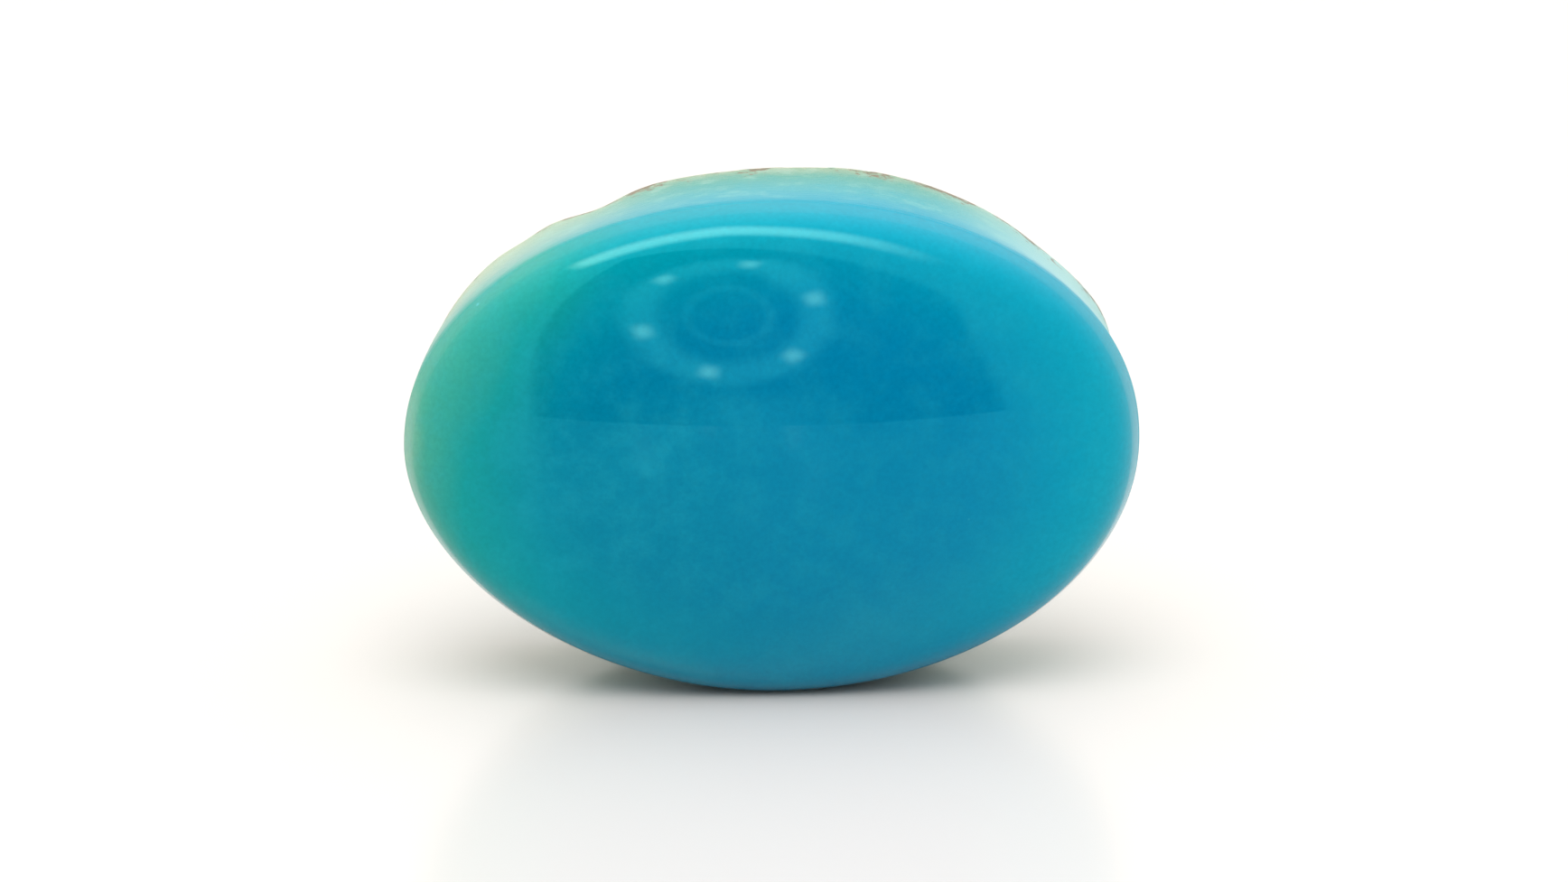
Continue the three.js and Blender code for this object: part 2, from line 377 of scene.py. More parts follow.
@dataclass
class TurquoiseStone:
    """The stone: one closed skin from the polished face over the wall and rim to the rough back."""

    outline: Outline = Outline()
    face: PolishedFace = PolishedFace()
    wall: SideWall = SideWall()
    back: RoughBack = RoughBack()
    foot_grind: float = 0.13
    grid: int = 80
    corner_rings: int = 6
    wall_rings: int = 18

    def face_point(self, angle: Numbers, share: Numbers) -> Numbers:
        """Gives points of the polished face.

        Args:
            angle: Angles round the middle.
            share: How far out each point lies, 0 in the middle and 1 on the girdle.

        Returns:
            One row of x, y and z for each point.
        """
        x, z = self.outline.point(angle)
        x, z = x * share, z * share
        return np.stack([x, self.face.depth(x, z, share), z], -1)

    def back_point(self, angle: Numbers, share: Numbers) -> Numbers:
        """Gives points of the rough back.

        Args:
            angle: Angles round the middle.
            share: How far out each point lies, 0 in the middle and 1 on the rim.

        Returns:
            One row of x, y and z for each point.
        """
        edge_x, edge_z = self.outline.point(angle)
        out = share * self.back.rim_swell(angle)
        x = edge_x / self.outline.length * self.back.length * out + self.back.right
        z = edge_z / self.outline.height * self.back.height * out + self.back.up
        return np.stack([x, self.rim_depth + self.back.relief(x, z, share), z], -1)

    def wall_point(self, angle: Numbers, share: Numbers) -> Numbers:
        """Gives points of the side wall.

        Args:
            angle: Angles round the middle.
            share: How far back each point lies, 0 on the girdle and 1 on the back rim.

        Returns:
            One row of x, y and z for each point.
        """
        whole = np.ones_like(angle)
        front = self.face_point(angle, whole)
        back = self.back_point(angle, whole)
        wall = self.wall
        drawn = share**wall.curve
        turn = wall.waves * angle + wall.wave_turn + wall.wave_slant * share
        out = 1 + 2 * wall.wave * np.sin(np.pi * share) * np.sin(turn) / self.outline.height
        way = np.stack([drawn, share, drawn], -1)
        return (front + (back - front) * way) * np.stack([out, whole, out], -1)

    @property
    def girdle_depth(self) -> float:
        """How far the top of the girdle lies behind the top of the dome."""
        return float(self.face_point(np.array(np.pi / 2), np.array(1.0))[1])

    @property
    def rim_depth(self) -> float:
        """How far the back rim lies behind the top of the dome."""
        return self.girdle_depth + self.wall.depth

    @property
    def rings(self) -> int:
        """How many steps there are from the face's edge to the back's edge."""
        return 2 * self.corner_rings + self.wall_rings

    @staticmethod
    def rounded(start: Numbers, corner: Numbers, end: Numbers, share: Numbers) -> Numbers:
        """Gives points of a softened corner, on a curve that leaves along one side and joins the other.

        Args:
            start: Where the curve leaves.
            corner: The sharp corner it rounds.
            end: Where it joins.
            share: How far along each point lies, from 0 to 1.

        Returns:
            One row of x, y and z for each point.
        """
        s = share[..., None]
        return (1 - s) ** 2 * start + 2 * s * (1 - s) * corner + s**2 * end

    def ring_point(self, angle: Numbers, ring: Numbers) -> Numbers:
        """Gives points between the face's edge and the back's edge.

        Args:
            angle: Angles round the middle.
            ring: How many rings back each point lies, from 0 to the number of rings.

        Returns:
            One row of x, y and z for each point.
        """
        whole = np.ones_like(angle)
        half = self.outline.height / 2
        wall_start = self.face.girdle_round / self.wall.depth
        wall_end = 1 - self.back.rim_round / self.wall.depth
        first = self.rounded(
            self.face_point(angle, whole * (1 - self.face.girdle_round / half)),
            self.face_point(angle, whole),
            self.wall_point(angle, whole * wall_start),
            np.clip(ring / self.corner_rings, 0, 1),
        )
        along = np.clip((ring - self.corner_rings) / self.wall_rings, 0, 1)
        middle = self.wall_point(angle, wall_start + (wall_end - wall_start) * along)
        last = self.rounded(
            self.wall_point(angle, whole * wall_end),
            self.back_point(angle, whole),
            self.back_point(angle, whole * (1 - self.back.rim_round / half)),
            np.clip((ring - self.corner_rings - self.wall_rings) / self.corner_rings, 0, 1),
        )
        before = (ring < self.corner_rings)[..., None]
        after = (ring > self.corner_rings + self.wall_rings)[..., None]
        return np.where(before, first, np.where(after, last, middle))

    def cut_slab(self) -> Body:
        """Makes the slab of squares that the stone is drawn from, as deep as it has rings.

        Returns:
            The slab, one unit of 1 mm for each ring and for each square of the face.
        """
        bpy.ops.object.select_all(action="DESELECT")
        steps = 2 * self.grid
        bpy.ops.mesh.primitive_grid_add(
            x_subdivisions=steps, y_subdivisions=steps, size=steps * MM, rotation=(math.pi / 2, 0, 0),
        )
        slab = bpy.context.active_object
        bpy.ops.object.transform_apply(location=True, rotation=True, scale=True)
        bpy.ops.object.mode_set(mode="EDIT")
        bpy.ops.mesh.select_all(action="SELECT")
        for _ in range(self.rings):
            bpy.ops.mesh.extrude_region_move(TRANSFORM_OT_translate={"value": (0, MM, 0)})
        bpy.ops.mesh.select_all(action="SELECT")
        bpy.ops.mesh.normals_make_consistent(inside=False)
        bpy.ops.object.mode_set(mode="OBJECT")
        return slab

    def slab_angle(self, i: Numbers, j: Numbers) -> Numbers:
        """Gives the angle round the middle to which a square grid's point is drawn.

        Args:
            i: Steps across from the middle.
            j: Steps up from the middle.

        Returns:
            The angle of each point.
        """
        wide = np.abs(i) >= np.abs(j)
        safe_i = np.where(i == 0, 1, i)
        safe_j = np.where(j == 0, 1, j)
        sideways = np.where(i < 0, np.pi, 0) + np.where(i == 0, 0, np.pi / 4 * j / safe_i)
        upright = np.where(j < 0, 1.5, 0.5) * np.pi - np.pi / 4 * i / safe_j
        return np.where(wide, sideways, upright)

    def draw_stone(self, slab: Body) -> None:
        """Moves the slab's points to the stone's surface and keeps what the finish needs of each.

        The region attribute is 0 in the middle of the face, 1 on the crease between face and wall, 2
        on the back rim and 3 in the middle of the back. The hollow attribute is how deep a point of
        the back lies in its furrows and pits, in mm; the finish darkens the back by it, partly for clay
        and limonite and partly as painted shade.

        Args:
            slab: The slab of squares.
        """
        mesh = slab.data
        flat = np.empty(3 * len(mesh.vertices), np.float32)
        mesh.vertices.foreach_get("co", flat)
        i, ring, j = np.round(flat.reshape(-1, 3).T / MM).astype(int)
        angle = self.slab_angle(i, j)
        share = np.maximum(np.abs(i), np.abs(j)) / self.grid
        half = self.outline.height / 2
        spread = (1 - self.face.girdle_round / half) * np.sin(np.pi / 2 * share) ** self.face.crowding
        gathered = share * (1 - self.back.rim_round / half)
        on_face = ring == 0
        on_back = ring == self.rings
        points = self.ring_point(angle, ring)
        points = np.where(on_face[:, None], self.face_point(angle, spread), points)
        points = np.where(on_back[:, None], self.back_point(angle, gathered), points)

        into_corner = 0.95 + 0.05 * np.clip(2 * ring / self.corner_rings, 0, 1)
        middle = np.clip((ring - self.corner_rings / 2) / (self.rings - self.corner_rings), 0, 1)
        region = np.where(on_back, 3 - gathered, into_corner + middle)
        region = np.where(on_face, 0.95 * spread / spread.max(), region)
        x, z = points[:, 0], points[:, 2]
        # The depth of the furrows and pits, which the finish turns into clay, limonite and painted shade
        hollow = (self.back.grooves(x, z) + 0.5 * self.back.pit_fall(x, z)) * (region > 1.9)

        # Small chips along the rim, fading out over the wall and the back
        from_rim = np.where(on_back, (1 - gathered) * half, (2 - region) * self.wall.depth)
        round_rim = angle * self.outline.length / 2 / self.wall.chip_span
        chips = smoothstep(noise(round_rim, ring * 0.15, 31), 0.45, 0.85)
        chips = chips + 0.3 * noise(3.3 * round_rim, ring * 0.35, 32)
        near = np.exp(-((from_rim / self.wall.chip_width) ** 2)) * (region > 1)
        radius = np.hypot(x, z) + 1e-6
        inward = 1 - self.wall.chip_depth * chips * near / radius
        points[:, 0] *= inward
        points[:, 2] *= inward

        mesh.vertices.foreach_set("co", (points * MM).astype(np.float32).ravel())
        for name, values in (("region", region), ("hollow", hollow)):
            kept = mesh.attributes.new(name, "FLOAT", "POINT")
            kept.data.foreach_set("value", values.astype(np.float32))
        mesh.update()

    def grind_foot(self, stone: Body) -> None:
        """Cuts the lower edge flat where the stone stands, and keeps the cut's border crisp.

        Args:
            stone: Not used; the cut works on the active object, which is the stone, still measured from the
                middle of its outline.
        """
        level = (self.foot_grind - self.outline.height / 2) * MM
        bpy.ops.object.mode_set(mode="EDIT")
        bpy.ops.mesh.select_all(action="SELECT")
        bpy.ops.mesh.bisect(
            plane_co=(0, 0, level), plane_no=(0, 0, 1), use_fill=True, clear_inner=True, threshold=1e-8,
        )
        bpy.ops.mesh.mark_sharp()
        bpy.ops.mesh.select_all(action="DESELECT")
        bpy.ops.object.mode_set(mode="OBJECT")

    def set_down(self, stone: Body) -> None:
        """Sets the stone on the floor, inside the box of the CAD stone.

        Args:
            stone: The stone with its foot.
        """
        low, high = (np.array(corner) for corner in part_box("stone"))
        points = np.empty(3 * len(stone.data.vertices), np.float32)
        stone.data.vertices.foreach_get("co", points)
        points = points.reshape(-1, 3)
        mine_low, mine_high = points.min(0), points.max(0)
        fit = min(1.0, float(((high - low) / (mine_high - mine_low)).min()))
        middle = (mine_low + mine_high) / 2
        points = (points - middle) * fit
        points += (low + high) / 2
        points[:, 2] += low[2] - points[:, 2].min()
        stone.data.vertices.foreach_set("co", points.astype(np.float32).ravel())
        stone.data.update()
        log.info("stone fitted to the CAD box by a factor of %.5f", fit)

    def build(self) -> Body:
        """Builds and dresses the stone.

        Returns:
            The finished stone, riding on the root body.
        """
        stone = self.cut_slab()
        stone.name = stone.data.name = "turquoise_stone"
        self.draw_stone(stone)
        self.grind_foot(stone)
        self.set_down(stone)
        bpy.ops.object.shade_smooth()
        stone.data.materials.append(TurquoiseFinish().build())
        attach(stone, "root")
        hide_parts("stone")
        return stone


def set_stops(ramp: Node, stops: Stops) -> Node:
    """Puts a colour ramp's stops in place.

    Args:
        ramp: The ramp.
        stops: Pairs of a place from 0 to 1 and an sRGB colour code.

    Returns:
        The ramp.
    """
    elements = ramp.color_ramp.elements
    while len(elements) < len(stops):
        elements.new(0.5)
    for element, (at, code) in zip(elements, stops):
        element.position = at
        element.color = linear(code)
    return ramp


@dataclass(frozen=True)
class PolishedTurquoise:
    """Turquoise, domed on a wheel and polished on leather with tin oxide.

    The polish gives the eye an even, slightly waxy gloss over a deep colour. The blue turns green
    on the left, where the stone is more weathered, and is clouded towards the edge. It is also
    painted paler towards the edge, partly the stone's own waxy paleness and partly painted light on
    the upper and side edges, while the lowest edge is kept deep as painted shade.
    """

    gloss: float = 0.03
    # From the left end to the right end
    tones: Stops = (
        (0.0, "#4C8B80"), (0.04, "#267E7A"), (0.1, "#087884"), (0.2, "#007592"),
        (0.5, "#007299"), (0.75, "#00749D"), (1.0, "#007CA5"),
    )
    ends: tuple[float, float] = (-9.2, 10.8)
    drift_size: float = 5.0
    drift: float = 2.0
    edge_drift: float = -2.6
    edge_drift_x: tuple[float, float] = (-10.0, -5.5)
    edge_drift_z: tuple[float, float] = (5.5, 9.5)
    # Paler towards the edge: partly the stone's own paleness, partly painted light on the upper and side
    # edges, with the lowest edge kept deep as painted shade
    pale_and_lit_edge: tuple[float, float, float, float] = (2.2, 1.5, 1.12, 1.0)
    edge_start: float = 0.5
    low_edge_z: tuple[float, float] = (0.5, 4.0)
    shaded_low_edge: float = 0.2
    cloud_start: float = 0.4
    cloud_end: float = 0.72
    cloud_tone: str = "#1E98AC"
    cloud_size: float = 0.9
    cloudiness: float = 0.16
    cloud_place: tuple[float, float, float] = (-4.2, -3.6, 6.2)
    cloud_reach: float = 5.5
    speckle_size: float = 0.14
    speckle: float = 0.07
    mark_tone: str = "#5FC2CC"
    mark_spacing: float = 2.4
    mark_size: float = 0.09
    mark_strength: float = 0.7
    stain_tone: str = "#4E8468"
    stain_place: tuple[float, float, float] = (8.75, -1.9, 4.35)
    stain_reach: float = 0.5
    stain_ragged: float = 0.25
    stain_strength: float = 0.75

    def colour(self, add: Adder, place: Socket, region: Socket) -> Node:
        """Adds the colour.

        Args:
            add: Adds a node to the material.
            place: Object coordinates.
            region: How far out or back a point lies.

        Returns:
            A node that gives the colour.
        """
        x, _, z = add("SeparateXYZ", place).outputs
        drift = add("TexNoise", place, Scale=per_metre(self.drift_size), Detail=3.0)
        moved = add("Math", drift, self.drift * MM, x, operation="MULTIPLY_ADD")
        edge = add("MapRange", region, self.edge_start, Border.CREASE, **SMOOTH)
        # The green reaches further along the upper edge
        upper = add("MapRange", z, *metres(self.edge_drift_z), 0.0, self.edge_drift * MM, **SMOOTH)
        inner = add("MapRange", x, *metres(self.edge_drift_x), **SMOOTH)
        inner = add("Math", inner, edge, operation="MULTIPLY")
        moved = add("Math", inner, upper, moved, operation="MULTIPLY_ADD")
        along = add("MapRange", moved, *metres(self.ends))
        tones = set_stops(add("ValToRGB", along), self.tones)
        # The edge is painted paler, partly its own paleness and partly painted light from above and the
        # sides; the lowest part of the edge stays as deep as the middle, as painted shade
        above = add("MapRange", z, *metres(self.low_edge_z), self.shaded_low_edge, **SMOOTH)
        raised = add("Math", edge, above, operation="MULTIPLY")
        paler = add(
            "Mix", data_type="RGBA", blend_type="MULTIPLY", Factor=raised, A=tones, B=self.pale_and_lit_edge,
        )
        clouds = add("TexNoise", place, Scale=per_metre(self.cloud_size), Detail=7.0, Roughness=0.68)
        off = add("VectorMath", place, metres(self.cloud_place), operation="DISTANCE")
        gathered = add(
            "MapRange", off.outputs["Value"], 0.0, self.cloud_reach * MM, 2 * self.cloudiness,
            self.cloudiness, **SMOOTH,
        )
        cloud = add("MapRange", clouds, self.cloud_start, self.cloud_end, 0.0, gathered, **SMOOTH)
        clouded = add("Mix", data_type="RGBA", Factor=cloud, A=paler, B=linear(self.cloud_tone))
        specks = add("TexNoise", place, Scale=per_metre(self.speckle_size), Detail=2.0, Roughness=0.6)
        speck = add("MapRange", specks, 0.25, 0.75, 1 - self.speckle, 1 + self.speckle)
        speckled = add("VectorMath", clouded, operation="SCALE", Scale=speck)
        marks = add("TexVoronoi", place, Scale=per_metre(self.mark_spacing))
        mark = add(
            "MapRange", marks, 0.3 * self.mark_size / self.mark_spacing, self.mark_size / self.mark_spacing,
            self.mark_strength, 0.0, **SMOOTH,
        )
        away = add("VectorMath", place, metres(self.stain_place), operation="DISTANCE")
        ragged = add(
            "Math", clouds, 2 * self.stain_ragged * MM, away.outputs["Value"], operation="MULTIPLY_ADD",
        )
        stain = add(
            "MapRange", ragged, self.stain_ragged * MM, (self.stain_ragged + self.stain_reach) * MM,
            self.stain_strength, 0.0, **SMOOTH,
        )
        tones = speckled
        for share, tone in ((mark, self.mark_tone), (stain, self.stain_tone)):
            tones = add("Mix", data_type="RGBA", Factor=share, A=tones, B=linear(tone))
        return tones


@dataclass(frozen=True)
class GroundTurquoise:
    """Turquoise as the grinding wheel left it, unpolished.

    Its fine scratches scatter more light than the polish does, so it looks paler and satin. It
    turns chalky and green towards the back, and cream at the left, where the vein ends.
    """

    satin: float = 0.4
    # From the crease to the rim
    tones: Stops = (
        (0.0, "#0A8BA3"), (0.18, "#1F90A2"), (0.4, "#30929A"), (0.7, "#4A9083"),
        (0.88, "#839B7E"), (1.0, "#B39A72"),
    )
    left_tone: str = "#AEBA9C"
    left_x: tuple[float, float] = (-1.5, -8.5)
    left_strength: float = 0.8
    right_tone: str = "#9CC6C8"
    right_x: tuple[float, float] = (3.8, 8.5)
    right_strength: float = 0.75
    patch_size: float = 0.7
    patch_tone: str = "#86BDB8"
    patchiness: float = 0.3
    fleck_tone: str = "#6A4A2A"
    fleck_size: float = 0.3
    fleck_start: float = 0.72
    fleck_end: float = 0.84
    flecking: float = 0.85
    cluster_size: float = 2.2
    clustering: float = 0.8
    scratch_length: float = 4.0
    scratch_width: float = 0.1

    def colour(self, add: Adder, place: Socket, region: Socket) -> Node:
        """Adds the colour.

        Args:
            add: Adds a node to the material.
            place: Object coordinates.
            region: How far out or back a point lies.

        Returns:
            A node that gives the colour.
        """
        x, _, _ = add("SeparateXYZ", place).outputs
        patches = add("TexNoise", place, Scale=per_metre(self.patch_size), Detail=6.0, Roughness=0.6)
        uneven = add("Math", patches, 0.3, region, operation="MULTIPLY_ADD")
        back = add("MapRange", uneven, Border.CREASE + 0.13, Border.RIM + 0.13)
        tones = set_stops(add("ValToRGB", back), self.tones)
        left = add("MapRange", x, *metres(self.left_x), 0.0, self.left_strength, **SMOOTH)
        spread = add("MapRange", back, 0.0, 0.6, 0.45, 1.0)
        left = add("Math", left, spread, operation="MULTIPLY")
        right = add("MapRange", x, *metres(self.right_x), 0.0, self.right_strength, **SMOOTH)
        patch = add("MapRange", patches, 0.48, 0.72, 0.0, self.patchiness, **SMOOTH)
        flecks = add("TexNoise", place, Scale=per_metre(self.fleck_size), Detail=4.0, Roughness=0.65)
        # Flecks gather here and there towards the rim
        clusters = add("TexNoise", place, Scale=per_metre(self.cluster_size), Detail=2.0)
        gathered = add("Math", clusters, self.clustering, flecks, operation="MULTIPLY_ADD")
        nearness = add("Math", region, gathered, operation="ADD")
        fleck = add(
            "MapRange", nearness, Border.RIM + self.fleck_start, Border.RIM + self.fleck_end, 0.0,
            self.flecking, **SMOOTH,
        )
        layers = (
            (left, self.left_tone), (right, self.right_tone),
            (patch, self.patch_tone), (fleck, self.fleck_tone),
        )
        for share, tone in layers:
            tones = add("Mix", data_type="RGBA", Factor=share, A=tones, B=linear(tone))
        return tones


@dataclass(frozen=True)
class NaturalSkin:
    """The vein's own weathered skin: turquoise nodules in cream clay and brown limonite.

    It was never worked, so it looks matt and earthy: chalky green-blue turquoise runs into cream
    clay in broad patches, and limonite stains the furrows between the nodules. The furrows and pits
    are also darkened by their depth as painted shade.
    """

    matt: float = 0.85
    # From turquoise to clay
    tones: Stops = (
        (0.0, "#3D9499"), (0.35, "#5FA49B"), (0.55, "#86AE97"), (0.66, "#B9B48C"),
        (0.84, "#B39C6E"), (1.0, "#93744A"),
    )
    patch_size: float = 3.2
    fine_size: float = 0.22
    mottle: float = 0.25
    # How far depth moves the colour towards clay and brown: partly settled clay, partly painted shade
    settling_and_shade: float = 0.55
    clay_start: float = 0.42
    clay_end: float = 0.95
    # Dark brown in the deep furrows and pits: partly limonite, partly painted shade
    stain_tone: str = "#5B4028"
    shade_stain_start: float = 0.42
    shade_stain_end: float = 0.62
    staining_and_shade: float = 0.85

    def colour(self, add: Adder, place: Socket, hollow: Socket) -> Node:
        """Adds the colour.

        Args:
            add: Adds a node to the material.
            place: Object coordinates.
            hollow: How deep in a furrow or pit a point lies, in mm.

        Returns:
            A node that gives the colour.
        """
        patches = add("TexNoise", place, Scale=per_metre(self.patch_size), Detail=8.0, Roughness=0.66)
        # Clay settled low between the nodules, and the hollows darkened by their depth as painted shade
        settled = add("Math", hollow, self.settling_and_shade, patches, operation="MULTIPLY_ADD")
        share = add("MapRange", settled, self.clay_start, self.clay_end)
        tones = set_stops(add("ValToRGB", share), self.tones)
        fine = add("TexNoise", place, Scale=per_metre(self.fine_size), Detail=5.0, Roughness=0.7)
        shade = add("MapRange", fine, 0.3, 0.7, 1 - self.mottle, 1 + self.mottle)
        mottled = add("VectorMath", tones, operation="SCALE", Scale=shade)
        # The deeper a point lies, the more dark brown it gets: limonite in the furrows and painted shade
        deep = add("Math", patches, 0.7, hollow, operation="MULTIPLY_ADD")
        uneven = add("Math", fine, 0.5, deep, operation="MULTIPLY_ADD")
        stain = add(
            "MapRange", uneven, self.shade_stain_start + 0.6, self.shade_stain_end + 0.6, 0.0, self.staining_and_shade, **SMOOTH,
        )
        return add("Mix", data_type="RGBA", Factor=stain, A=mottled, B=linear(self.stain_tone))


@dataclass(frozen=True)
class TurquoiseFinish:
    """One material with turquoise in its three states, which run into each other."""

    polished: PolishedTurquoise = PolishedTurquoise()
    ground: GroundTurquoise = GroundTurquoise()
    natural: NaturalSkin = NaturalSkin()
    ior: float = 1.61
    # The gloss of so strong a blue looks blue itself, as a photograph shows it
    gloss_tone: str = "#4CF4FF"
    wear_size: float = 0.6
    wear: float = 0.16
    grain_size: float = 0.16
    grain_depth: float = 0.05
    back_grain: float = 1.6
    scratching: float = 0.35

    def build(self) -> bpy.types.Material:
        """Builds the material.

        Returns:
            The material, with one shader for all three states.
        """
        material = bpy.data.materials.new("turquoise")
        add = node_adder(material)
        place = add("TexCoord").outputs["Object"]
        region = add("Attribute", attribute_name="region").outputs["Fac"]
        hollow = add("Attribute", attribute_name="hollow").outputs["Fac"]

        wear = add("TexNoise", place, Scale=per_metre(self.wear_size), Detail=4.0)
        uneven = add("Math", wear, self.wear, region, operation="MULTIPLY_ADD")
        on_wall = add("MapRange", region, Border.CREASE - 0.02, Border.CREASE + 0.06, **SMOOTH)
        paling = add("MapRange", uneven, Border.CREASE + 0.06, Border.CREASE + 0.4, **SMOOTH)
        on_back = add("MapRange", uneven, Border.RIM - 0.05, Border.RIM + 0.03, **SMOOTH)
        front = add(
            "Mix", data_type="RGBA", Factor=paling, A=self.polished.colour(add, place, region),
            B=self.ground.colour(add, place, region),
        )
        colour = add(
            "Mix", data_type="RGBA", Factor=on_back, A=front, B=self.natural.colour(add, place, hollow),
        )
        front_rough = add("Mix", Factor=on_wall, A=self.polished.gloss, B=self.ground.satin)
        rough = add("Mix", Factor=on_back, A=front_rough, B=self.natural.matt)

        grain = add("TexNoise", place, Scale=per_metre(self.grain_size), Detail=5.0, Roughness=0.6)
        # The wheel ran round the stone, so its scratches lie across the wall's depth
        long, thin = per_metre(self.ground.scratch_length), per_metre(self.ground.scratch_width)
        stretched = add("Mapping", place, Scale=(long, thin, long))
        scratches = add("TexNoise", stretched, Scale=1.0, Detail=3.0)
        grain_share = add("MapRange", region, Border.CREASE, Border.RIM + 0.1, 0.0, self.back_grain)
        wall_share = add("Math", on_wall, on_back, operation="SUBTRACT")
        rough_grain = add("Math", grain, grain_share, operation="MULTIPLY")
        scratched = add("Math", scratches, wall_share, operation="MULTIPLY")
        height = add("Math", scratched, self.scratching, rough_grain, operation="MULTIPLY_ADD")
        bump = add("Bump", Height=height, Strength=1.0, Distance=self.grain_depth * MM)
        shader = add(
            "BsdfPrincipled", Base_Color=colour, Roughness=rough, Normal=bump, IOR=self.ior,
            Specular_Tint=linear(self.gloss_tone),
        )
        add("OutputMaterial", shader)
        return material


@dataclass(frozen=True)
class LampRing:
    """The ring of six small lamps round the lens, which shows in the polish of the face.

    Radii are tangents of the angle from the lens, and strengths are times the light of white paper.
    """

    elevation: float = 14.9
    azimuth: float = -3.5
    lamps: int = 6
    first_lamp: float = 17.0
    radius: float = 0.189
    lamp_width: float = 0.033
    lamp_gap: float = 0.45
    lamp_edge: float = 2.0
    lamp_strength: float = 14.0
    glow_width: float = 0.065
    glow_strength: float = 1.3
    lens_radius: float = 0.088
    lens_width: float = 0.018
    lens_strength: float = 0.5

    def light(self, add: Adder, towards: Socket) -> tuple[Node, Node]:
        """Adds the ring's light by direction.

        Args:
            add: Adds a node to the world.
            towards: The direction that is looked in.

        Returns:
            The node that gives the lamps' strength, and the one that gives the strength of the glow.
        """
        lens = direction(self.elevation, self.azimuth)
        turn = math.radians(self.azimuth)
        right = Vector((math.cos(turn), math.sin(turn), 0))
        up = right.cross(lens) * -1
        ways = [
            add("VectorMath", towards, way, operation="DOT_PRODUCT").outputs["Value"]
            for way in (lens, right, up)
        ]
        ahead = add("Math", ways[0], 0.05, operation="MAXIMUM")
        across, along = (add("Math", way, ahead, operation="DIVIDE") for way in ways[1:])
        flat = add("CombineXYZ", across, along)
        out = add("VectorMath", flat, operation="LENGTH").outputs["Value"]
        bearing = add("Math", along, across, operation="ARCTAN2")
        turned = add(
            "Math", bearing, self.lamps, -self.lamps * math.radians(self.first_lamp),
            operation="MULTIPLY_ADD",
        )
        wave = add("Math", turned, operation="COSINE")
        off = add("Math", out, self.radius, operation="SUBTRACT")
        squared = add("Math", off, off, operation="MULTIPLY")
        across_ring = add("MapRange", squared, 0.0, self.lamp_width**2, 1.0, 0.0)
        along_ring = add("MapRange", wave, self.lamp_gap, 1.0)
        spot = add("Math", across_ring, along_ring, operation="MULTIPLY")
        spot = add("Math", spot, self.lamp_edge, operation="POWER")
        lamps = add("Math", spot, self.lamp_strength, operation="MULTIPLY")
        glow = None
        bands = (
            (self.radius, self.glow_width, self.glow_strength),
            (self.lens_radius, self.lens_width, self.lens_strength),
        )
        for radius, width, strength in bands:
            off = add("Math", out, radius, operation="SUBTRACT")
            away = add("Math", off, operation="ABSOLUTE")
            band = add("MapRange", away, 0.15 * width, width, 1.0, 0.0, **SMOOTH)
            glow = add("Math", band, strength, glow or 0.0, operation="MULTIPLY_ADD")
        return lamps, glow


